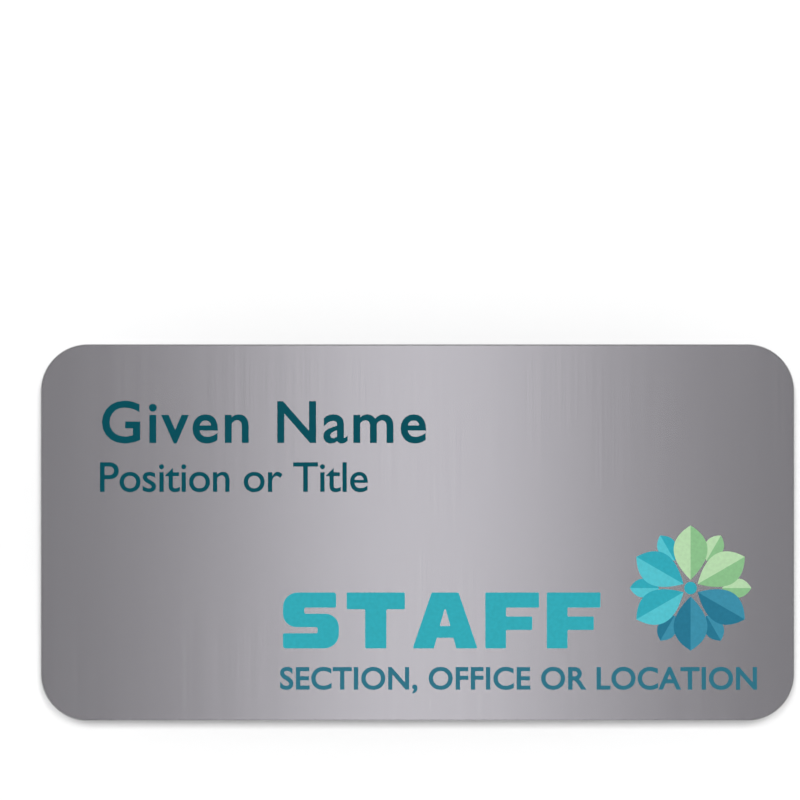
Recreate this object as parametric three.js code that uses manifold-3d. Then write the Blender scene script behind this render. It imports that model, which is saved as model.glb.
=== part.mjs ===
// A name badge: a brushed metal plate with round corners, and a bar pin bonded to its back.
// It lies on its back with its face up. Units are millimetres. +X runs along the plate, +Y points
// to its top edge and +Z out of its face. The origin is on the surface that the badge lies on,
// under the middle of the plate.
import * as THREE from "three";
import { mergeVertices } from "three/addons/utils/BufferGeometryUtils.js";
import Module from "manifold-3d";

// The plate.
const plateLength = 76.2;
const plateWidth = 38.1;
const plateThickness = 1.0;
const plateCornerRadius = 4.76;
const edgeBreak = 0.12; // small chamfer round both faces

// The pin's bar, which is flat against the plate's back, and the sheet that is folded down from it.
const barLength = 38.1;
const barWidth = 6.4;
const barThickness = 0.6;
const barCornerRadius = 1.2;
const barEndMargin = 1.3; // from each end of the bar to its ears or its catch
const sheetThickness = 0.6; // of the ears and the catch

// The pin's wire, wound once round a rivet between the two ears.
const wireDiameter = 0.9;
const wirePointLength = 3.0;
const wirePointDiameter = 0.2;
const wireSeatGap = 0.15; // between the wire and the floor of the catch
const rivetDiameter = 1.2;
const rivetHeadDiameter = 1.8;
const rivetHeadHeight = 0.3;
const coilToBar = 0.65; // free space between the coil and the bar
const earPastCoil = 1.0; // how far the ears reach past the coil at both ends
const earCornerRadius = 1.3;

// The catch.
const catchLength = 4.5;
const catchInset = 0.6; // from each edge of the bar to the catch
const catchBendRadius = 0.6; // inside the catch's two folds
const catchPastPoint = 0.7; // how far the catch covers the point of the wire
const lipOverWire = 0.35; // how far the catch's free edge stands over the wire

// Segments in a quarter turn of a corner, and round a whole turned piece.
const cornerSegments = 16;
const turnSegments = 24;

// Heights, from the surface that the badge lies on.
const wireUnderside = sheetThickness + wireSeatGap;
const wireHeight = wireUnderside + wireDiameter / 2;
const coilDiameter = rivetDiameter + 2 * wireDiameter;
const coilHeight = wireUnderside + coilDiameter / 2; // the wire leaves the coil along its underside
const barUnderside = wireUnderside + coilDiameter + coilToBar;
const plateBack = barUnderside + barThickness;
const insideBar = barUnderside + barThickness / 2; // where the folded sheet ends inside the bar

// Places along the bar.
const earLength = coilDiameter + 2 * earPastCoil;
const hingeX = barLength / 2 - barEndMargin - earLength / 2;
const catchOuterX = -(barLength / 2 - barEndMargin);

const wasm = await Module();
wasm.setup();

// A closed geometry as a manifold-3d solid.
function solidOf(geometry) {
  geometry.deleteAttribute("normal");
  geometry.deleteAttribute("uv");
  const merged = mergeVertices(geometry, 1e-4);
  return new wasm.Manifold(
    new wasm.Mesh({
      numProp: 3,
      vertProperties: merged.attributes.position.array,
      triVerts: new Uint32Array(merged.index.array),
    }),
  );
}

// A manifold-3d solid as a geometry with flat faces.
function geometryOf(solid) {
  const mesh = solid.getMesh();
  const geometry = new THREE.BufferGeometry();
  geometry.setAttribute("position", new THREE.BufferAttribute(mesh.vertProperties, 3));
  geometry.setIndex(new THREE.BufferAttribute(mesh.triVerts, 1));
  const flat = geometry.toNonIndexed();
  flat.computeVertexNormals();
  return flat;
}

// A rectangle with round corners, centred on the origin.
function roundedRectangle(length, width, radius) {
  const x = length / 2 - radius;
  const y = width / 2 - radius;
  const shape = new THREE.Shape();
  shape.absarc(x, y, radius, 0, Math.PI / 2);
  shape.absarc(-x, y, radius, Math.PI / 2, Math.PI);
  shape.absarc(-x, -y, radius, Math.PI, 1.5 * Math.PI);
  shape.absarc(x, -y, radius, 1.5 * Math.PI, 2 * Math.PI);
  return shape;
}

// The plate. Its chamfers are taken off its outline, not added to it.
function plateGeometry() {
  const outline = roundedRectangle(plateLength, plateWidth, plateCornerRadius);
  const geometry = new THREE.ExtrudeGeometry(outline, {
    depth: plateThickness - 2 * edgeBreak,
    curveSegments: cornerSegments,
    bevelEnabled: true,
    bevelSize: edgeBreak,
    bevelThickness: edgeBreak,
    bevelOffset: -edgeBreak,
    bevelSegments: 1,
  });
  return geometry.translate(0, 0, plateBack + edgeBreak);
}

// The flat bar that is bonded to the plate's back.
function barSolid() {
  const outline = roundedRectangle(barLength, barWidth, barCornerRadius);
  const geometry = new THREE.ExtrudeGeometry(outline, {
    depth: barThickness,
    curveSegments: cornerSegments,
    bevelEnabled: false,
  });
  return solidOf(geometry.translate(0, 0, barUnderside));
}

// One ear of the hinge, folded down from the edge of the bar. Side is 1 or -1 along Y.
function earSolid(side) {
  const half = earLength / 2;
  const r = earCornerRadius;
  const outline = new THREE.Shape();
  outline.moveTo(half, insideBar);
  outline.lineTo(-half, insideBar);
  outline.lineTo(-half, r);
  outline.absarc(-half + r, r, r, Math.PI, 1.5 * Math.PI);
  outline.lineTo(half - r, 0);
  outline.absarc(half - r, r, r, 1.5 * Math.PI, 2 * Math.PI);
  const geometry = new THREE.ExtrudeGeometry(outline, {
    depth: sheetThickness,
    curveSegments: cornerSegments / 2,
    bevelEnabled: false,
  });
  // The outline stands up in X and Z, and its thickness lies towards -Y.
  geometry.rotateX(Math.PI / 2);
  const faceY = side > 0 ? barWidth / 2 : -barWidth / 2 + sheetThickness;
  return solidOf(geometry.translate(hingeX, faceY, 0));
}

// A round rod along Y, centred on the hinge.
function hingeRod(diameter, length) {
  const geometry = new THREE.CylinderGeometry(diameter / 2, diameter / 2, length, turnSegments);
  return solidOf(geometry.translate(hingeX, 0, coilHeight));
}

// The wire, from the coil to its point inside the catch.
function wireSolid() {
  const length = hingeX - catchOuterX - catchPastPoint;
  const profile = [
    new THREE.Vector2(0, 0),
    new THREE.Vector2(wireDiameter / 2, 0),
    new THREE.Vector2(wireDiameter / 2, length - wirePointLength),
    new THREE.Vector2(wirePointDiameter / 2, length),
    new THREE.Vector2(0, length),
  ];
  const geometry = new THREE.LatheGeometry(profile, turnSegments / 2);
  geometry.rotateZ(Math.PI / 2);
  return solidOf(geometry.translate(hingeX, 0, wireHeight));
}

// The catch: one strip of sheet, folded down from the bar, under the wire and up to a free lip.
function catchSolid() {
  const inner = catchBendRadius;
  const outer = inner + sheetThickness;
  const half = barWidth / 2 - catchInset;
  const lip = wireUnderside + wireDiameter + lipOverWire;
  const section = new THREE.Shape();
  section.moveTo(half, insideBar);
  section.lineTo(half - sheetThickness, insideBar);
  section.lineTo(half - sheetThickness, outer);
  section.absarc(half - outer, outer, inner, 0, -Math.PI / 2, true);
  section.lineTo(-half + outer, sheetThickness);
  section.absarc(-half + outer, outer, inner, -Math.PI / 2, -Math.PI, true);
  section.lineTo(-half + sheetThickness, lip);
  section.lineTo(-half, lip);
  section.lineTo(-half, outer);
  section.absarc(-half + outer, outer, outer, -Math.PI, -Math.PI / 2);
  section.lineTo(half - outer, 0);
  section.absarc(half - outer, outer, outer, -Math.PI / 2, 0);
  const geometry = new THREE.ExtrudeGeometry(section, {
    depth: catchLength,
    curveSegments: cornerSegments / 2,
    bevelEnabled: false,
  });
  // The section lies in Y and Z, and its length runs along X.
  const alongX = new THREE.Matrix4().makeBasis(
    new THREE.Vector3(0, 1, 0),
    new THREE.Vector3(0, 0, 1),
    new THREE.Vector3(1, 0, 0),
  );
  return solidOf(geometry.applyMatrix4(alongX).translate(catchOuterX, 0, 0));
}

// The whole pin, joined into one piece of metal.
function pinGeometry() {
  const joined = [
    earSolid(1),
    earSolid(-1),
    hingeRod(coilDiameter, barWidth - sheetThickness),
    hingeRod(rivetHeadDiameter, barWidth + 2 * rivetHeadHeight),
    wireSolid(),
    catchSolid(),
  ].reduce((whole, piece) => whole.add(piece), barSolid());
  return geometryOf(joined);
}

const brushedSilver = new THREE.MeshStandardMaterial({
  color: 0xa9a7ac,
  roughness: 0.36,
  metalness: 1.0,
});
const nickel = new THREE.MeshStandardMaterial({
  color: 0xc9c5bd,
  roughness: 0.22,
  metalness: 1.0,
});

const badge = new THREE.Group();

const plate = new THREE.Mesh(plateGeometry(), brushedSilver);
plate.name = "badge_plate";
badge.add(plate);

const pin = new THREE.Mesh(pinGeometry(), nickel);
pin.name = "bar_pin";
badge.add(pin);

export default badge;
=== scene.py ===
# Name badge: a brushed silver plate with a printed face, and a bar pin on its back.
import math

import bmesh
import bpy
from mathutils import Matrix, Vector


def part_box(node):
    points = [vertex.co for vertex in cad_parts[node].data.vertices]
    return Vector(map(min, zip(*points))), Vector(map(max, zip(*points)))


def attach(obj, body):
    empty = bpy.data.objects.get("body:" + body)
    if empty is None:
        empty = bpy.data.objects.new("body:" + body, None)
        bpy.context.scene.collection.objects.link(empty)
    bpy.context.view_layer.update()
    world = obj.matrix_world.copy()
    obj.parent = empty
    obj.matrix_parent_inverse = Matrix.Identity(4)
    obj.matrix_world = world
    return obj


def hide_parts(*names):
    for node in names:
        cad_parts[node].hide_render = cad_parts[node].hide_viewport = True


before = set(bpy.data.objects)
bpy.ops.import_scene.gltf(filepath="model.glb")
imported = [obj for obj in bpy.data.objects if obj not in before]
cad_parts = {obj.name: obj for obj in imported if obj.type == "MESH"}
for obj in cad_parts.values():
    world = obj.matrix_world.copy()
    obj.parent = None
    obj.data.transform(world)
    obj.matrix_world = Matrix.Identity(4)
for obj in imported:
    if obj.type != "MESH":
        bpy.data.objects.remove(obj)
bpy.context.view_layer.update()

# Pieces are drawn in millimetres, in the frame's own axes, and brought to metres when they are added.
mm = 0.001
plateLow, plateHigh = (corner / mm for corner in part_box("badge_plate"))
pinLow, pinHigh = (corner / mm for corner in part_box("bar_pin"))
faceHeight = plateHigh.z
print("frame loaded, plate", [round(size, 2) for size in plateHigh - plateLow], "mm")


def addPiece(name, mesh, cadNode=None):
    mesh.transform(Matrix.Scale(mm, 4))
    piece = bpy.data.objects.new(name, mesh)
    bpy.context.scene.collection.objects.link(piece)
    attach(piece, "root")
    if cadNode:
        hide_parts(cadNode)


def plainMesh(carrier):
    # the evaluated object as a plain mesh, and the carrier is gone
    bpy.context.scene.collection.objects.link(carrier)
    depsgraph = bpy.context.evaluated_depsgraph_get()
    mesh = bpy.data.meshes.new_from_object(
        carrier.evaluated_get(depsgraph), preserve_all_data_layers=True, depsgraph=depsgraph
    )
    bpy.data.objects.remove(carrier)
    return mesh


def joinedMesh(name, meshes):
    joined = bmesh.new()
    for mesh in meshes:
        joined.from_mesh(mesh)
    result = bpy.data.meshes.new(name)
    joined.to_mesh(result)
    joined.free()
    return result


def mergeClose(mesh, distance):
    form = bmesh.new()
    form.from_mesh(mesh)
    bmesh.ops.remove_doubles(form, verts=form.verts, dist=distance)
    bmesh.ops.dissolve_degenerate(form, edges=form.edges, dist=distance)
    bmesh.ops.recalc_face_normals(form, faces=form.faces)
    form.to_mesh(mesh)
    form.free()


def useMaterial(mesh, material):
    mesh.materials.clear()
    mesh.materials.append(material)
    for polygon in mesh.polygons:
        polygon.material_index = 0


def addNode(tree, kind, inputs=None, **settings):
    # inputs are values or the output sockets of other nodes
    node = tree.nodes.new(kind)
    for name, value in settings.items():
        setattr(node, name, value)
    for key, value in (inputs or {}).items():
        if isinstance(value, bpy.types.NodeSocket):
            tree.links.new(value, node.inputs[key])
        else:
            node.inputs[key].default_value = value
    return node


def makeTree(name, inputs):
    # a Geometry Nodes tree with named inputs, its input sockets and the socket that its result goes to
    tree = bpy.data.node_groups.new(name, "GeometryNodeTree")
    for label, kind in inputs.items():
        tree.interface.new_socket(label, in_out="INPUT", socket_type=kind)
    tree.interface.new_socket("Geometry", in_out="OUTPUT", socket_type="NodeSocketGeometry")
    return tree, tree.nodes.new("NodeGroupInput").outputs, tree.nodes.new("NodeGroupOutput").inputs[0]


def runTree(tree, values):
    carrier = bpy.data.objects.new(tree.name, bpy.data.meshes.new(tree.name))
    modifier = carrier.modifiers.new("nodes", "NODES")
    modifier.node_group = tree
    for item in tree.interface.items_tree:
        if item.in_out == "INPUT":
            modifier[item.identifier] = values[item.name]
    return plainMesh(carrier)


def calc(tree, operation, first, second=0.0):
    return addNode(tree, "ShaderNodeMath", {0: first, 1: second}, operation=operation).outputs[0]


def vector(tree, x=0.0, y=0.0, z=0.0):
    return addNode(tree, "ShaderNodeCombineXYZ", {"X": x, "Y": y, "Z": z}).outputs[0]


def joinAll(tree, parts):
    node = tree.nodes.new("GeometryNodeJoinGeometry")
    for part in parts:
        tree.links.new(part, node.inputs[0])
    return node.outputs[0]


# Finishes. The grain runs along Y, as the plate is brushed across its short side. Sizes are in mm.
noiseRange = (0.3, 0.7)  # where nearly all values of a noise texture lie
grainLook = {
    "fineWidth": 0.2,  # across one scratch
    "fineLength": 24.0,
    "fineDetail": 4.0,
    "fineDepth": 0.00006,
    "broadWidth": 0.9,  # across one streak
    "broadLength": 60.0,
}
faceLook = {
    "dark": (0.634, 0.614, 0.66),
    "light": (0.686, 0.666, 0.712),
    "broadShare": 0.35,  # of the change in colour, and the fine scratches make the rest
    "roughness": (0.222, 0.232),
    "anisotropy": 0.6,
}
cutLook = {
    "dark": (0.42, 0.415, 0.43),
    "light": (0.58, 0.575, 0.59),
    "markSize": 0.12,
    "markDetail": 2.0,
    "markDepth": 0.002,
    "roughness": (0.28, 0.4),
}
backLook = {
    "dark": (0.6, 0.6, 0.61),
    "light": (0.68, 0.68, 0.69),
    "cloudSize": 8.0,
    "rollingWidth": 0.25,
    "rollingLength": 30.0,
    "rollingDepth": 0.0015,
    "roughness": (0.36, 0.46),
}
nickelLook = {
    "dark": (0.74, 0.71, 0.67),
    "light": (0.8, 0.78, 0.75),
    "smearSize": 1.8,
    "scratchWidth": 0.05,
    "scratchLength": 2.5,
    "scratchDepth": 0.001,
    "roughness": (0.16, 0.28),
}
inkLook = {
    "deepTeal": (0.0, 0.096, 0.13),
    "aqua": (0.042, 0.525, 0.62),
    "blue": (0.038, 0.222, 0.31),
    "emblem": [  # a light and a dark tone of each hue
        (0.628, 0.93, 0.561),
        (0.34, 0.69, 0.34),
        (0.06, 0.357, 0.518),
        (0.027, 0.239, 0.374),
        (0.12, 0.715, 0.818),
        (0.042, 0.519, 0.636),
    ],
    "cover": (0.93, 1.03),  # the colour's strength where the film is thin and where it is full
    "coverSize": 0.35,
    "roughness": (0.4, 0.5),
    "specular": 0.12,
    "relief": 0.6,  # how much of the grain's relief shows in the film
}


def newMaterial(name, inputs):
    material = bpy.data.materials.new(name)
    material.use_nodes = True
    shader = material.node_tree.nodes["Principled BSDF"]
    for key, value in inputs.items():
        shader.inputs[key].default_value = value
    return material, material.node_tree, shader


def streaks(tree, across, along, detail=2.0, turned=False):
    # noise stretched along Y, or along X when turned
    place = addNode(tree, "ShaderNodeTexCoord").outputs["Object"]
    sizeX, sizeY = (along, across) if turned else (across, along)
    scale = (1 / (sizeX * mm), 1 / (sizeY * mm), 1)
    stretched = addNode(tree, "ShaderNodeMapping", {"Vector": place, "Scale": scale}).outputs[0]
    inputs = {"Vector": stretched, "Scale": 1.0, "Detail": detail}
    return addNode(tree, "ShaderNodeTexNoise", inputs).outputs["Fac"]


def fineGrain(tree):
    return streaks(tree, grainLook["fineWidth"], grainLook["fineLength"], grainLook["fineDetail"])


def blotches(tree, size, detail=3.0):
    place = addNode(tree, "ShaderNodeTexCoord").outputs["Object"]
    inputs = {"Vector": place, "Scale": 1 / (size * mm), "Detail": detail}
    return addNode(tree, "ShaderNodeTexNoise", inputs).outputs["Fac"]


def spread(tree, value, low, high):
    # noise, which stays near the middle of its range, spread over low to high
    fromLow, fromHigh = noiseRange
    inputs = {"Value": value, "From Min": fromLow, "From Max": fromHigh, "To Min": low, "To Max": high}
    return addNode(tree, "ShaderNodeMapRange", inputs).outputs[0]


def coloured(tree, shader, value, look):
    inputs = {0: value, 6: (*look["dark"], 1), 7: (*look["light"], 1)}  # the factor and the two colours
    mixed = addNode(tree, "ShaderNodeMix", inputs, data_type="RGBA")
    tree.links.new(mixed.outputs[2], shader.inputs["Base Color"])


def roughened(tree, shader, value, look):
    tree.links.new(spread(tree, value, *look["roughness"]), shader.inputs["Roughness"])


def bumped(tree, shader, height, depth, strength=1.0):
    bump = addNode(tree, "ShaderNodeBump", {"Height": height, "Distance": depth * mm, "Strength": strength})
    tree.links.new(bump.outputs[0], shader.inputs["Normal"])


def makeBrushedFace():
    look = faceLook
    inputs = {"Metallic": 1.0, "Anisotropic": look["anisotropy"]}
    material, tree, shader = newMaterial("brushedFace", inputs)
    broad = streaks(tree, grainLook["broadWidth"], grainLook["broadLength"])
    fine = fineGrain(tree)
    share = look["broadShare"]
    both = calc(tree, "ADD", spread(tree, broad, 0.0, share), spread(tree, fine, 0.0, 1.0 - share))
    coloured(tree, shader, both, look)
    roughened(tree, shader, broad, look)
    tangent = addNode(tree, "ShaderNodeTangent", direction_type="UV_MAP", uv_map="grain")
    tree.links.new(tangent.outputs[0], shader.inputs["Tangent"])
    bumped(tree, shader, fine, grainLook["fineDepth"])
    return material


def makeCutEdge():
    look = cutLook
    material, tree, shader = newMaterial("cutEdge", {"Metallic": 1.0})
    marks = blotches(tree, look["markSize"], look["markDetail"])
    coloured(tree, shader, marks, look)
    roughened(tree, shader, marks, look)
    bumped(tree, shader, marks, look["markDepth"])
    return material


def makeMilledBack():
    look = backLook
    material, tree, shader = newMaterial("milledBack", {"Metallic": 1.0})
    rolling = streaks(tree, look["rollingWidth"], look["rollingLength"], turned=True)
    clouds = blotches(tree, look["cloudSize"])
    coloured(tree, shader, spread(tree, clouds, 0, 1), look)
    roughened(tree, shader, rolling, look)
    bumped(tree, shader, rolling, look["rollingDepth"])
    return material


def makeNickel():
    look = nickelLook
    material, tree, shader = newMaterial("nickelPlate", {"Metallic": 1.0})
    smears = blotches(tree, look["smearSize"])
    scratches = streaks(tree, look["scratchWidth"], look["scratchLength"], turned=True)
    coloured(tree, shader, spread(tree, smears, 0, 1), look)
    roughened(tree, shader, smears, look)
    bumped(tree, shader, scratches, look["scratchDepth"])
    return material


def inkOver(tree, shader, colour):
    # a satin film: the grain under it still shows as faint relief, and its cover is slightly uneven
    cover = spread(tree, blotches(tree, inkLook["coverSize"]), *inkLook["cover"])
    fine = fineGrain(tree)
    shade = addNode(tree, "ShaderNodeVectorMath", {0: colour, "Scale": cover}, operation="SCALE")
    tree.links.new(shade.outputs[0], shader.inputs["Base Color"])
    roughened(tree, shader, fine, inkLook)
    bumped(tree, shader, fine, grainLook["fineDepth"], inkLook["relief"])


def makeInk(name, colour):
    material, tree, shader = newMaterial(name, {"Specular IOR Level": inkLook["specular"]})
    flat = addNode(tree, "ShaderNodeRGB")
    flat.outputs[0].default_value = (*colour, 1)
    inkOver(tree, shader, flat.outputs[0])
    return material


def makeEmblemInk():
    # the tone that each half of a petal carries picks one of the colours
    material, tree, shader = newMaterial("emblemInk", {"Specular IOR Level": inkLook["specular"]})
    tone = addNode(tree, "ShaderNodeAttribute", attribute_name="tone").outputs["Fac"]
    ramp = addNode(tree, "ShaderNodeValToRGB", {"Fac": tone})
    ramp.color_ramp.interpolation = "CONSTANT"
    colours = inkLook["emblem"]
    stops = ramp.color_ramp.elements
    while len(stops) < len(colours):
        stops.new(1.0)
    for index, colour in enumerate(colours):
        stops[index].position = index / len(colours)
        stops[index].color = (*colour, 1)
    inkOver(tree, shader, ramp.outputs[0])
    return material


brushedFace = makeBrushedFace()
cutEdge = makeCutEdge()
milledBack = makeMilledBack()
nickelPlate = makeNickel()
inkDeepTeal = makeInk("inkDeepTeal", inkLook["deepTeal"])
inkAqua = makeInk("inkAqua", inkLook["aqua"])
inkBlue = makeInk("inkBlue", inkLook["blue"])
emblemInk = makeEmblemInk()
print("finishes made")


# The plate: sheared from sheet, so its face rolls over a little at the edge and its back is nearly sharp.
plateLook = {
    "cornerRadius": 4.76,
    "faceRollover": 0.14,
    "backBreak": 0.05,
    "cornerSteps": 40,
    "rolloverSteps": 6,
}
plateMaterials = (brushedFace, cutEdge, milledBack)
faceSlot, edgeSlot, backSlot = range(len(plateMaterials))


def roundedOutline(halfLength, halfWidth, radius, steps, inset=0.0):
    points = []
    for quarter, (sideX, sideY) in enumerate([(1, 1), (-1, 1), (-1, -1), (1, -1)]):
        for step in range(steps + 1):
            angle = (quarter + step / steps) * math.pi / 2
            x = sideX * (halfLength - radius) + (radius - inset) * math.cos(angle)
            y = sideY * (halfWidth - radius) + (radius - inset) * math.sin(angle)
            points.append((x, y))
    return points


def makePlate():
    look = plateLook
    half = (plateHigh - plateLow) / 2
    back = look["backBreak"]
    front = look["faceRollover"]
    steps = look["rolloverSteps"]
    quarterTurns = [step / steps * math.pi / 2 for step in range(steps + 1)]
    # rows of (inset, height) from the back's flat to the face's flat
    rows = [(back - back * math.sin(t), plateLow.z + back - back * math.cos(t)) for t in quarterTurns]
    rows += [(front - front * math.cos(t), plateHigh.z - front + front * math.sin(t)) for t in quarterTurns]
    form = bmesh.new()
    loops = []
    for inset, height in rows:
        outline = roundedOutline(half.x, half.y, look["cornerRadius"], look["cornerSteps"], inset)
        loops.append([form.verts.new((x, y, height)) for x, y in outline])
    for lower, upper in zip(loops[:-1], loops[1:]):
        for index in range(len(lower)):
            after = (index + 1) % len(lower)
            side = form.faces.new((lower[index], lower[after], upper[after], upper[index]))
            side.material_index = edgeSlot
    face = form.faces.new(loops[-1])
    face.material_index = faceSlot
    underside = form.faces.new(reversed(loops[0]))
    underside.material_index = backSlot
    for polygon in form.faces:
        polygon.smooth = True
    for edge in [*face.edges, *underside.edges]:
        edge.smooth = False  # keeps the flats' normals true
    grain = form.loops.layers.uv.new("grain")  # U runs across the grain
    for polygon in form.faces:
        for corner in polygon.loops:
            x, y, height = corner.vert.co
            corner[grain].uv = (x / (2 * half.x) + 0.5, y / (2 * half.y) + 0.5)
    mesh = bpy.data.meshes.new("plate")
    form.to_mesh(mesh)
    form.free()
    for material in plateMaterials:
        mesh.materials.append(material)
    addPiece("plate", mesh, "badge_plate")


makePlate()
print("plate made")


# The print is a thin film on the face. Every line of it is placed in mm from the middle of the plate.
filmLook = {
    "thickness": 0.025,
    "sunk": 0.005,  # how far the film's underside lies in the face
    "mergeDistance": 2e-4,  # in letter heights
}
nameLook = {
    "words": "Given Name",
    "left": -31.9,
    "baseline": 9.15,
    "letterHeight": 5.95,
    "spacing": 1.1,
    "boldness": 0.014,
    "curveSteps": 5,
}
titleLook = {
    "words": "Position or Title",
    "left": -32.1,
    "baseline": 4.15,
    "letterHeight": 4.3,
    "spacing": 0.97,
    "boldness": 0.006,
    "curveSteps": 8,
}
officeLook = {
    "words": "SECTION, OFFICE OR LOCATION",
    "left": -13.9,
    "baseline": -15.8,
    "letterHeight": 3.14,
    "spacing": 1.035,
    "boldness": 0.022,
    "curveSteps": 6,
}


def printFilm(name, curve, look, material):
    # the curve is drawn one unit high, where its outlines are filled most exactly, and then scaled
    curve.extrude = 0.5  # to each side, so one unit thick before it is scaled
    mesh = plainMesh(bpy.data.objects.new(name, curve))
    mergeClose(mesh, filmLook["mergeDistance"])
    thickness = filmLook["thickness"] + filmLook["sunk"]
    size = look["letterHeight"]
    left = min(vertex.co.x for vertex in mesh.vertices) * size
    mesh.transform(Matrix.Diagonal((size, size, thickness, 1)))
    middle = faceHeight - filmLook["sunk"] + thickness / 2
    mesh.transform(Matrix.Translation((look["left"] - left, look["baseline"], middle)))
    useMaterial(mesh, material)
    mesh.shade_flat()
    xs = [vertex.co.x for vertex in mesh.vertices]
    print(name, "runs from", round(min(xs), 2), "to", round(max(xs), 2), "mm")
    addPiece(name, mesh)


def printLine(name, look, material):
    letters = bpy.data.curves.new(name, "FONT")
    letters.body = look["words"]
    letters.space_character = look["spacing"]
    letters.offset = look["boldness"]
    letters.resolution_u = look["curveSteps"]
    printFilm(name, letters, look, material)


printLine("nameLine", nameLook, inkDeepTeal)
printLine("titleLine", titleLook, inkDeepTeal)
printLine("officeLine", officeLook, inkBlue)

# The heading's heavy block letters are drawn here. A letter is its outlines, and each corner of an
# outline is (x, y, corner radius) in letter heights.
headingLook = {
    "words": "STAFF",
    "left": -13.6,
    "baseline": -11.7,
    "letterHeight": 5.65,
    "gap": 0.14,  # in letter heights, as are the letters' widths
    "cornerSteps": 6,
    "widths": {"S": 1.0, "T": 1.04, "A": 1.16, "F": 0.96},
}
blockLetters = {
    "S": [
        [
            (0.0, 0.0, 0.05),
            (1.0, 0.0, 0.26),
            (1.0, 0.62, 0.24),
            (0.38, 0.62, 0.03),
            (0.38, 0.73, 0.03),
            (0.95, 0.73, 0.03),
            (0.95, 1.0, 0.05),
            (0.0, 1.0, 0.26),
            (0.0, 0.38, 0.24),
            (0.62, 0.38, 0.03),
            (0.62, 0.27, 0.03),
            (0.0, 0.27, 0.03),
        ]
    ],
    "T": [
        [
            (0.33, 0.0, 0.02),
            (0.71, 0.0, 0.02),
            (0.71, 0.7, 0.02),
            (1.04, 0.7, 0.02),
            (1.04, 1.0, 0.02),
            (0.0, 1.0, 0.02),
            (0.0, 0.7, 0.02),
            (0.33, 0.7, 0.02),
        ]
    ],
    "A": [
        [
            (0.0, 0.0, 0.02),
            (0.38, 0.0, 0.02),
            (0.43, 0.19, 0.02),
            (0.73, 0.19, 0.02),
            (0.78, 0.0, 0.02),
            (1.16, 0.0, 0.02),
            (0.82, 1.0, 0.03),
            (0.34, 1.0, 0.03),
        ],
        [(0.485, 0.4, 0.015), (0.58, 0.74, 0.015), (0.675, 0.4, 0.015)],
    ],
    "F": [
        [
            (0.0, 0.0, 0.02),
            (0.37, 0.0, 0.02),
            (0.37, 0.33, 0.02),
            (0.84, 0.33, 0.02),
            (0.84, 0.57, 0.02),
            (0.37, 0.57, 0.02),
            (0.37, 0.73, 0.02),
            (0.96, 0.73, 0.02),
            (0.96, 1.0, 0.02),
            (0.0, 1.0, 0.02),
        ]
    ],
}


def roundedCorners(corners, steps):
    points = []
    for index, (x, y, radius) in enumerate(corners):
        corner = Vector((x, y))
        before = (Vector(corners[index - 1][:2]) - corner).normalized()
        after = (Vector(corners[(index + 1) % len(corners)][:2]) - corner).normalized()
        halfAngle = before.angle(after) / 2
        centre = corner + (before + after).normalized() * radius / math.sin(halfAngle)
        start = corner + before * radius / math.tan(halfAngle) - centre
        end = corner + after * radius / math.tan(halfAngle) - centre
        sweep = math.atan2(start.cross(end), start.dot(end))
        for step in range(steps + 1):
            points.append(centre + Matrix.Rotation(sweep * step / steps, 2) @ start)
    return points


def blockLine(name, look, material):
    curve = bpy.data.curves.new(name, "CURVE")
    curve.dimensions = "2D"
    curve.fill_mode = "BOTH"
    left = 0.0
    for letter in look["words"]:
        for corners in blockLetters[letter]:
            points = roundedCorners(corners, look["cornerSteps"])
            outline = curve.splines.new("POLY")
            outline.points.add(len(points) - 1)
            for place, point in zip(outline.points, points):
                place.co = (left + point.x, point.y, 0.0, 1.0)
            outline.use_cyclic_u = True
        left += look["widths"][letter] + look["gap"]
    printFilm(name, curve, look, material)


blockLine("headingLine", headingLook, inkAqua)
print("lettering made")


# The emblem: a rosette of six broad petals in three pairs of hues, and six leaves between them.
emblemLook = {
    "centre": (27.6, -5.6),
    "radius": 6.33,
    "leafLower": 0.01,  # mm that the leaves lie lower than the petals
    "mergeDistance": 1e-4,  # mm
    "curveSteps": 20,
    "dotSteps": 48,
    # the sizes below are shares of the radius, and the widths are half widths
    "petalWidth": 0.27,
    "petalStart": 0.13,
    "leafWidth": 0.15,
    "leafStart": 0.5,
    "leafEnd": 0.97,
    "dotRadius": 0.1,
    "bellyPlace": 0.62,  # a share of the petal's length
}
emblemInputs = {
    "Radius": "NodeSocketFloat",
    "Petal Width": "NodeSocketFloat",
    "Petal Start": "NodeSocketFloat",
    "Leaf Width": "NodeSocketFloat",
    "Leaf Start": "NodeSocketFloat",
    "Leaf End": "NodeSocketFloat",
    "Dot Radius": "NodeSocketFloat",
    "Belly Place": "NodeSocketFloat",
    "Petal Film": "NodeSocketFloat",
    "Leaf Film": "NodeSocketFloat",
    "Curve Steps": "NodeSocketInt",
    "Dot Steps": "NodeSocketInt",
}
petalCount = 6
tonesPerHue = 2  # one for each half of a petal
toneCount = len(inkLook["emblem"])
petalsPerHue = petalCount * tonesPerHue / toneCount
bandMiddle = 0.5  # each tone has a band of the ramp, and is read in the band's middle
controlReach = 2.0  # a quadratic curve comes half-way to its control point


def merged(tree, parts):
    inputs = {"Geometry": joinAll(tree, parts), "Distance": emblemLook["mergeDistance"]}
    return addNode(tree, "GeometryNodeMergeByDistance", inputs).outputs[0]


def closedFilm(tree, fill, thickness):
    inputs = {"Mesh": fill, "Offset Scale": thickness, "Individual": False}
    raised = addNode(tree, "GeometryNodeExtrudeMesh", inputs).outputs["Mesh"]
    under = addNode(tree, "GeometryNodeFlipFaces", {"Mesh": fill}).outputs[0]
    return merged(tree, [raised, under])


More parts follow.
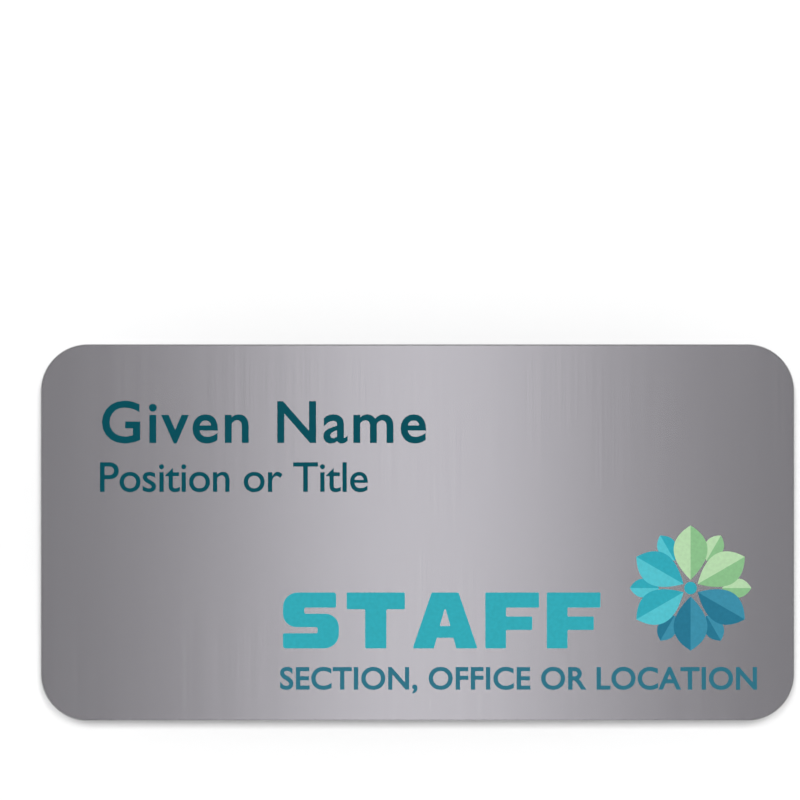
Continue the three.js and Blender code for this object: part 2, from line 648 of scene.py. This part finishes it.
def storeTone(tree, geometry, name, value, domain):
    inputs = {"Geometry": geometry, "Name": name, "Value": value}
    settings = {"data_type": "FLOAT", "domain": domain}
    return addNode(tree, "GeometryNodeStoreNamedAttribute", inputs, **settings).outputs[0]


def storedTone(tree, name):
    node = addNode(tree, "GeometryNodeInputNamedAttribute", {"Name": name}, data_type="FLOAT")
    return node.outputs["Attribute"]


def petalRing(tree, entry, start, end, width, thickness, firstAngle):
    # a petal is flat halves of two tones, joined along its axis and then raised as one
    length = calc(tree, "SUBTRACT", end, start)
    bellyX = calc(tree, "ADD", start, calc(tree, "MULTIPLY", length, entry["Belly Place"]))
    halves = []
    for half, side in enumerate((1, -1)):
        inputs = {
            "Resolution": entry["Curve Steps"],
            "Start": vector(tree, x=start),
            "Middle": vector(tree, x=bellyX, y=calc(tree, "MULTIPLY", width, controlReach * side)),
            "End": vector(tree, x=end),
        }
        curve = addNode(tree, "GeometryNodeCurveQuadraticBezier", inputs).outputs[0]
        inputs = {"Geometry": curve, "Cyclic": True}
        closed = addNode(tree, "GeometryNodeSetSplineCyclic", inputs).outputs[0]
        fill = addNode(tree, "GeometryNodeFillCurve", {"Curve": closed}).outputs[0]
        halves.append(storeTone(tree, fill, "half", half / toneCount, "FACE"))
    film = closedFilm(tree, merged(tree, halves), thickness)
    index = tree.nodes.new("GeometryNodeInputIndex").outputs[0]
    turned = calc(tree, "MULTIPLY", index, 2 * math.pi / petalCount)
    angle = calc(tree, "SUBTRACT", firstAngle, turned)
    hueIndex = calc(tree, "FLOOR", calc(tree, "DIVIDE", index, petalsPerHue))
    band = calc(tree, "ADD", calc(tree, "MULTIPLY", hueIndex, tonesPerHue), bandMiddle)
    places = addNode(tree, "GeometryNodePoints", {"Count": petalCount}).outputs[0]
    inputs = {"Points": places, "Instance": film, "Rotation": vector(tree, z=angle)}
    ring = addNode(tree, "GeometryNodeInstanceOnPoints", inputs).outputs[0]
    return storeTone(tree, ring, "hue", calc(tree, "DIVIDE", band, toneCount), "INSTANCE")


def makeEmblem():
    look = emblemLook
    tree, entry, leave = makeTree("petalRosette", emblemInputs)

    def inRadii(label):
        return calc(tree, "MULTIPLY", entry["Radius"], entry[label])

    petals = petalRing(
        tree,
        entry,
        inRadii("Petal Start"),
        entry["Radius"],
        inRadii("Petal Width"),
        entry["Petal Film"],
        math.pi / 2,
    )
    leaves = petalRing(
        tree,
        entry,
        inRadii("Leaf Start"),
        inRadii("Leaf End"),
        inRadii("Leaf Width"),
        entry["Leaf Film"],
        math.pi / 2 - math.pi / petalCount,
    )
    inputs = {"Vertices": entry["Dot Steps"], "Radius": inRadii("Dot Radius")}
    dot = addNode(tree, "GeometryNodeMeshCircle", inputs, fill_type="NGON").outputs[0]
    dotFilm = closedFilm(tree, dot, entry["Petal Film"])
    dotToned = storeTone(tree, dotFilm, "hue", 1 - bandMiddle / toneCount, "POINT")
    inputs = {"Geometry": joinAll(tree, [petals, leaves, dotToned])}
    realized = addNode(tree, "GeometryNodeRealizeInstances", inputs).outputs[0]
    tone = calc(tree, "ADD", storedTone(tree, "hue"), storedTone(tree, "half"))
    toned = storeTone(tree, realized, "tone", tone, "FACE")
    finished = addNode(tree, "GeometryNodeSetMaterial", {"Geometry": toned, "Material": emblemInk})
    tree.links.new(finished.outputs[0], leave)
    thickness = filmLook["thickness"] + filmLook["sunk"]
    values = {
        "Radius": look["radius"],
        "Petal Width": look["petalWidth"],
        "Petal Start": look["petalStart"],
        "Leaf Width": look["leafWidth"],
        "Leaf Start": look["leafStart"],
        "Leaf End": look["leafEnd"],
        "Dot Radius": look["dotRadius"],
        "Belly Place": look["bellyPlace"],
        "Petal Film": thickness,
        "Leaf Film": thickness - look["leafLower"],
        "Curve Steps": look["curveSteps"],
        "Dot Steps": look["dotSteps"],
    }
    mesh = runTree(tree, values)
    useMaterial(mesh, emblemInk)
    mesh.transform(Matrix.Translation((*look["centre"], faceHeight - filmLook["sunk"])))
    addPiece("emblem", mesh)


makeEmblem()
print("emblem made")


# The bar pin, behind the plate and hidden in the photo: one strip of sheet with two ears and a catch
# folded from it, and the wire with its coil. Its ears and its catch reach down to height 0.
pinLook = {
    "sheet": 0.6,
    "barTop": plateLow.z,
    "barCorner": 1.2,
    "barCornerSteps": 12,
    "earLength": 5.0,
    "earCorner": 1.3,
    "endMargin": 1.3,
    "catchLength": 4.5,
    "catchInset": 0.6,
    "catchBend": 0.6,
    "bendSteps": 8,
    "edgeBreak": 0.07,
    "edgeSteps": 2,
    "edgeAngle": 40.0,  # degrees, and a sharper corner is broken
    "creaseAngle": 28.0,  # degrees, and a sharper corner is shaded as one
    "mergeDistance": 0.004,
    "wireThickness": 0.9,
    "wireSeatGap": 0.15,  # between the catch's floor and the wire
    "lipOverWire": 0.35,
    "wireTipMargin": 0.7,
    "wireSteps": 160,
    "pointLength": 3.0,
    "pointThickness": 0.16,
    "coilTurns": 4.5,
    "coilPitch": 0.94,
    "rodThickness": 1.2,
    "headThickness": 1.8,
    "headHeight": 0.3,
    "headRings": 16,
    "turnSteps": 32,
}
barLength = pinHigh.x - pinLow.x
barHalfWidth = (pinHigh.y - pinLow.y) / 2 - pinLook["headHeight"]
hingeX = pinHigh.x - pinLook["endMargin"] - pinLook["earLength"] / 2
catchX = pinLow.x + pinLook["endMargin"]
wireUnderside = pinLook["sheet"] + pinLook["wireSeatGap"]
coilThickness = pinLook["rodThickness"] + 2 * pinLook["wireThickness"]


def arc(x, y, radius, fromDegrees, toDegrees):
    steps = pinLook["bendSteps"]
    points = []
    for step in range(steps + 1):
        turn = math.radians(fromDegrees + (toDegrees - fromDegrees) * step / steps)
        points.append((x + radius * math.cos(turn), y + radius * math.sin(turn)))
    return points


def slab(points, depth, place, axes):
    # an outline with a thickness. Axes are the outline's own two directions, then the thickness's
    form = bmesh.new()
    outline = form.faces.new([form.verts.new((x, y, 0.0)) for x, y in points])
    raised = bmesh.ops.extrude_face_region(form, geom=[outline])["geom"]
    moved = [item for item in raised if isinstance(item, bmesh.types.BMVert)]
    bmesh.ops.translate(form, verts=moved, vec=(0.0, 0.0, depth))
    turned = Matrix(axes).transposed().to_4x4()
    turned.translation = Vector(place)
    bmesh.ops.transform(form, matrix=turned, verts=form.verts)
    bmesh.ops.recalc_face_normals(form, faces=form.faces)
    mesh = bpy.data.meshes.new("slab")
    form.to_mesh(mesh)
    form.free()
    return mesh


def foldedSheet():
    look = pinLook
    sheet = look["sheet"]
    inside = look["barTop"] - sheet / 2  # where the folded sheet ends in the bar
    barOutline = roundedOutline(barLength / 2, barHalfWidth, look["barCorner"], look["barCornerSteps"])
    lying = ((1, 0, 0), (0, 1, 0), (0, 0, 1))
    bar = slab(barOutline, sheet, (0.0, 0.0, look["barTop"] - sheet), lying)
    half = look["earLength"] / 2
    corner = look["earCorner"]
    earOutline = [(half, inside), (-half, inside)]
    earOutline += arc(-half + corner, corner, corner, 180, 270)
    earOutline += arc(half - corner, corner, corner, 270, 360)
    upright = ((1, 0, 0), (0, 0, 1), (0, 1, 0))
    earPlaces = (barHalfWidth - sheet, -barHalfWidth)
    ears = [slab(earOutline, sheet, (hingeX, y, 0.0), upright) for y in earPlaces]
    bend = look["catchBend"]
    outer = bend + sheet
    reach = barHalfWidth - look["catchInset"]
    lipTop = wireUnderside + look["wireThickness"] + look["lipOverWire"]
    section = [(reach, inside), (reach - sheet, inside)]
    section += arc(reach - outer, outer, bend, 0, -90)
    section += arc(-reach + outer, outer, bend, -90, -180)
    section += [(-reach + sheet, lipTop), (-reach, lipTop)]
    section += arc(-reach + outer, outer, outer, 180, 270)
    section += arc(reach - outer, outer, outer, 270, 360)
    crosswise = ((0, 1, 0), (0, 0, 1), (1, 0, 0))
    catch = slab(section, look["catchLength"], (catchX, 0.0, 0.0), crosswise)
    whole = bpy.data.objects.new("foldedSheet", bar)
    added = [bpy.data.objects.new("addedSheet", mesh) for mesh in (*ears, catch)]
    for piece in added:
        bpy.context.scene.collection.objects.link(piece)
        union = whole.modifiers.new("union", "BOOLEAN")
        union.operation = "UNION"
        union.solver = "EXACT"
        union.object = piece
    bevel = whole.modifiers.new("edges", "BEVEL")
    bevel.width = look["edgeBreak"]
    bevel.segments = look["edgeSteps"]
    bevel.limit_method = "ANGLE"
    bevel.angle_limit = math.radians(look["edgeAngle"])
    mesh = plainMesh(whole)
    for piece in added:
        bpy.data.objects.remove(piece)
    mergeClose(mesh, look["mergeDistance"])
    mesh.shade_smooth()
    mesh.set_sharp_from_angle(angle=math.radians(look["creaseAngle"]))
    return mesh


pinInputs = {
    "Hinge": "NodeSocketVector",
    "Turns": "NodeSocketFloat",
    "Pitch": "NodeSocketFloat",
    "Coil Radius": "NodeSocketFloat",
    "Wire Radius": "NodeSocketFloat",
    "Wire Start": "NodeSocketVector",
    "Wire End": "NodeSocketVector",
    "Wire Steps": "NodeSocketInt",
    "Point Length": "NodeSocketFloat",
    "Point Radius": "NodeSocketFloat",
    "Rod Radius": "NodeSocketFloat",
    "Rod Half": "NodeSocketFloat",
    "Head Radius": "NodeSocketFloat",
    "Head Flatness": "NodeSocketFloat",
    "Head Rings": "NodeSocketInt",
    "Turn Steps": "NodeSocketInt",
}


def placed(tree, geometry, inputs):
    return addNode(tree, "GeometryNodeTransform", {"Geometry": geometry, **inputs}).outputs[0]


def makeWire():
    look = pinLook
    tree, entry, leave = makeTree("pinWire", pinInputs)
    upright = (math.pi / 2, 0.0, 0.0)
    inputs = {"Resolution": entry["Turn Steps"], "Radius": 1.0}
    unitRing = addNode(tree, "GeometryNodeCurvePrimitiveCircle", inputs).outputs[0]

    def swept(path, radius):
        ring = placed(tree, unitRing, {"Scale": vector(tree, radius, radius, radius)})
        inputs = {"Curve": path, "Profile Curve": ring, "Fill Caps": True}
        return addNode(tree, "GeometryNodeCurveToMesh", inputs).outputs[0]

    # the coil, turned so that it winds round the rod
    length = calc(tree, "MULTIPLY", entry["Turns"], entry["Pitch"])
    inputs = {
        "Resolution": entry["Turn Steps"],
        "Rotations": entry["Turns"],
        "Start Radius": entry["Coil Radius"],
        "End Radius": entry["Coil Radius"],
        "Height": length,
    }
    spiral = addNode(tree, "GeometryNodeCurveSpiral", inputs).outputs[0]
    centred = placed(tree, spiral, {"Translation": vector(tree, z=calc(tree, "MULTIPLY", length, -0.5))})
    coilPath = placed(tree, centred, {"Translation": entry["Hinge"], "Rotation": upright})
    coil = swept(coilPath, entry["Wire Radius"])

    # the straight wire, drawn out to a point
    inputs = {"Start": entry["Wire Start"], "End": entry["Wire End"]}
    line = addNode(tree, "GeometryNodeCurvePrimitiveLine", inputs).outputs[0]
    inputs = {"Curve": line, "Count": entry["Wire Steps"]}
    stepped = addNode(tree, "GeometryNodeResampleCurve", inputs).outputs[0]
    inputs = {0: entry["Wire Start"], 1: entry["Wire End"]}
    whole = addNode(tree, "ShaderNodeVectorMath", inputs, operation="DISTANCE").outputs["Value"]
    along = tree.nodes.new("GeometryNodeSplineParameter").outputs["Length"]
    inputs = {
        "Value": calc(tree, "SUBTRACT", whole, along),
        "From Min": 0.0,
        "From Max": entry["Point Length"],
        "To Min": entry["Point Radius"],
        "To Max": entry["Wire Radius"],
    }
    taper = addNode(tree, "ShaderNodeMapRange", inputs).outputs[0]
    inputs = {"Curve": stepped, "Radius": taper}
    tapered = addNode(tree, "GeometryNodeSetCurveRadius", inputs).outputs[0]
    inputs = {"Curve": tapered, "Profile Curve": unitRing, "Scale": taper, "Fill Caps": True}
    wire = addNode(tree, "GeometryNodeCurveToMesh", inputs).outputs[0]

    # the rod through the ears, with a flat round head at each end
    inputs = {0: entry["Hinge"], 1: vector(tree, y=entry["Rod Half"])}
    rodStart = addNode(tree, "ShaderNodeVectorMath", inputs, operation="SUBTRACT").outputs[0]
    rodEnd = addNode(tree, "ShaderNodeVectorMath", inputs, operation="ADD").outputs[0]
    inputs = {"Start": rodStart, "End": rodEnd}
    rodPath = addNode(tree, "GeometryNodeCurvePrimitiveLine", inputs).outputs[0]
    rod = swept(rodPath, entry["Rod Radius"])
    inputs = {"Segments": entry["Turn Steps"], "Rings": entry["Head Rings"], "Radius": entry["Head Radius"]}
    ball = addNode(tree, "GeometryNodeMeshUVSphere", inputs).outputs[0]
    flatness = vector(tree, 1.0, 1.0, entry["Head Flatness"])
    head = placed(tree, ball, {"Rotation": upright, "Scale": flatness})
    inputs = {"Points": rodPath, "Instance": head}
    heads = addNode(tree, "GeometryNodeInstanceOnPoints", inputs).outputs[0]

    inputs = {"Geometry": joinAll(tree, [coil, wire, rod, heads])}
    realized = addNode(tree, "GeometryNodeRealizeInstances", inputs).outputs[0]
    smooth = addNode(tree, "GeometryNodeSetShadeSmooth", {"Geometry": realized}).outputs[0]
    finished = addNode(tree, "GeometryNodeSetMaterial", {"Geometry": smooth, "Material": nickelPlate})
    tree.links.new(finished.outputs[0], leave)
    wireHeight = wireUnderside + look["wireThickness"] / 2
    headRadius = look["headThickness"] / 2
    values = {
        "Hinge": (hingeX, 0.0, wireUnderside + coilThickness / 2),
        "Turns": look["coilTurns"],
        "Pitch": look["coilPitch"],
        "Coil Radius": (coilThickness - look["wireThickness"]) / 2,
        "Wire Radius": look["wireThickness"] / 2,
        "Wire Start": (hingeX, 0.0, wireHeight),
        "Wire End": (catchX + look["wireTipMargin"], 0.0, wireHeight),
        "Wire Steps": look["wireSteps"],
        "Point Length": look["pointLength"],
        "Point Radius": look["pointThickness"] / 2,
        "Rod Radius": look["rodThickness"] / 2,
        "Rod Half": barHalfWidth,
        "Head Radius": headRadius,
        "Head Flatness": look["headHeight"] / headRadius,
        "Head Rings": look["headRings"],
        "Turn Steps": look["turnSteps"],
    }
    return runTree(tree, values)


pinMesh = joinedMesh("barPin", [foldedSheet(), makeWire()])
useMaterial(pinMesh, nickelPlate)
addPiece("barPin", pinMesh, "bar_pin")
print("bar pin made")


# Camera: straight above the face, and so far that the picture's width covers what the photo's covers.
framing = {
    "lens": 200.0,
    "sensor": 36.0,
    "clip": (0.01, 10.0),  # metres
    "photoWidth": 800.0,  # pixels, as are the plate's edges in the photo
    "plateLeft": 41.0,
    "plateRight": 794.0,
    "plateTop": 344.0,
    "plateBottom": 721.0,
}


def makeCamera():
    look = framing
    pixel = (plateHigh.x - plateLow.x) * mm / (look["plateRight"] - look["plateLeft"])
    camera = bpy.data.objects.new("camera", bpy.data.cameras.new("camera"))
    camera.data.lens = look["lens"]
    camera.data.sensor_width = look["sensor"]
    camera.data.clip_start, camera.data.clip_end = look["clip"]
    away = look["lens"] / look["sensor"] * look["photoWidth"] * pixel
    middle = look["photoWidth"] / 2
    camera.location = (
        (middle - (look["plateLeft"] + look["plateRight"]) / 2) * pixel,
        ((look["plateTop"] + look["plateBottom"]) / 2 - middle) * pixel,
        (plateLow.z + plateHigh.z) / 2 * mm + away,
    )
    bpy.context.scene.collection.objects.link(camera)
    bpy.context.scene.camera = camera


# Studio: a pale floor, a soft tent of light that is darker straight above, a strip light along the grain,
# a key light and two lights for the floor alone. Sizes are in metres.
tentLook = {
    "light": (0.35, 1.15),  # of its dimmer and its brighter panels
    "panels": 2.6,  # how many panels there are, roughly, from side to side
    "panelDetail": 1.0,
    "openingLight": 0.203,
    "openingInner": 45.0,  # degrees from straight up
    "openingOuter": 60.0,
}
floorLook = {
    "half": 1.5,
    "dark": (0.9, 0.9, 0.9),
    "light": (0.92, 0.92, 0.92),
    "cloudSize": 60.0,  # mm
    "roughness": 0.9,
    "specular": 0.2,
}
stripLook = {"place": (0.0014, -0.007, 0.25), "size": (0.03, 0.28), "power": 0.0395}
keyLook = {"place": (0.0, 0.17, 1.2), "size": (0.5, 0.3), "power": 4.65}
floorLightLook = {  # of the right one, and the left one mirrors it
    "place": (0.097, 0.145, 1.2),
    "size": (0.078, 0.187),
    "power": 5.3,
}


def makeTent():
    look = tentLook
    world = bpy.data.worlds.new("tent")
    world.use_nodes = True
    tree = world.node_tree
    direction = addNode(tree, "ShaderNodeTexCoord").outputs["Generated"]
    height = addNode(tree, "ShaderNodeSeparateXYZ", {"Vector": direction}).outputs["Z"]
    inputs = {"Vector": direction, "Scale": look["panels"], "Detail": look["panelDetail"]}
    panels = addNode(tree, "ShaderNodeTexNoise", inputs).outputs["Fac"]
    inputs = {
        "Value": height,
        "From Min": math.cos(math.radians(look["openingOuter"])),
        "From Max": math.cos(math.radians(look["openingInner"])),
        "To Min": spread(tree, panels, *look["light"]),
        "To Max": look["openingLight"],
    }
    opening = addNode(tree, "ShaderNodeMapRange", inputs, interpolation_type="SMOOTHSTEP").outputs[0]
    background = tree.nodes["Background"].inputs
    background["Color"].default_value = (1.0, 1.0, 1.0, 1.0)
    tree.links.new(opening, background["Strength"])
    bpy.context.scene.world = world


def makeFloor():
    look = floorLook
    form = bmesh.new()
    bmesh.ops.create_grid(form, x_segments=1, y_segments=1, size=look["half"])
    mesh = bpy.data.meshes.new("floor")
    form.to_mesh(mesh)
    form.free()
    floor = bpy.data.objects.new("floor", mesh)
    bpy.context.scene.collection.objects.link(floor)
    inputs = {"Roughness": look["roughness"], "Specular IOR Level": look["specular"]}
    material, tree, shader = newMaterial("paleFloor", inputs)
    coloured(tree, shader, blotches(tree, look["cloudSize"]), look)
    # seen from below, the floor lets the badge's back show
    clear = addNode(tree, "ShaderNodeBsdfTransparent").outputs[0]
    under = addNode(tree, "ShaderNodeNewGeometry").outputs["Backfacing"]
    either = addNode(tree, "ShaderNodeMixShader", {0: under, 1: shader.outputs[0], 2: clear})
    tree.links.new(either.outputs[0], tree.nodes["Material Output"].inputs["Surface"])
    mesh.materials.append(material)
    return floor


def makeAreaLight(name, look, side=1):
    # aimed at the middle of the plate from above or below it in the picture, and never turned
    light = bpy.data.lights.new(name, "AREA")
    light.shape = "RECTANGLE"
    light.size, light.size_y = look["size"]
    light.energy = look["power"]
    lamp = bpy.data.objects.new(name, light)
    x, y, z = look["place"]
    lamp.location = (side * x, y, z)
    lamp.rotation_euler = Vector((0.0, -y, -z)).to_track_quat("-Z", "Y").to_euler()
    lamp.visible_camera = False
    bpy.context.scene.collection.objects.link(lamp)
    return lamp


def lightGroup(name, lit, state):
    # what a light falls on: with INCLUDE this object alone, with EXCLUDE all but this object
    group = bpy.data.collections.new(name)
    group.objects.link(lit)
    group.collection_objects[0].light_linking.link_state = state
    return group


makeCamera()
makeTent()
floor = makeFloor()
makeAreaLight("stripLight", stripLook)
keyLight = makeAreaLight("keyLight", keyLook)
keyLight.visible_glossy = False  # the metal reflects only the tent and the strip
keyLight.light_linking.receiver_collection = lightGroup("notFloor", floor, "EXCLUDE")
floorOnly = lightGroup("floorOnly", floor, "INCLUDE")
for name, side in (("floorLightRight", 1), ("floorLightLeft", -1)):
    floorLight = makeAreaLight(name, floorLightLook, side)
    floorLight.light_linking.receiver_collection = floorOnly
bpy.context.scene.view_settings.view_transform = "Standard"
print("camera and studio made")
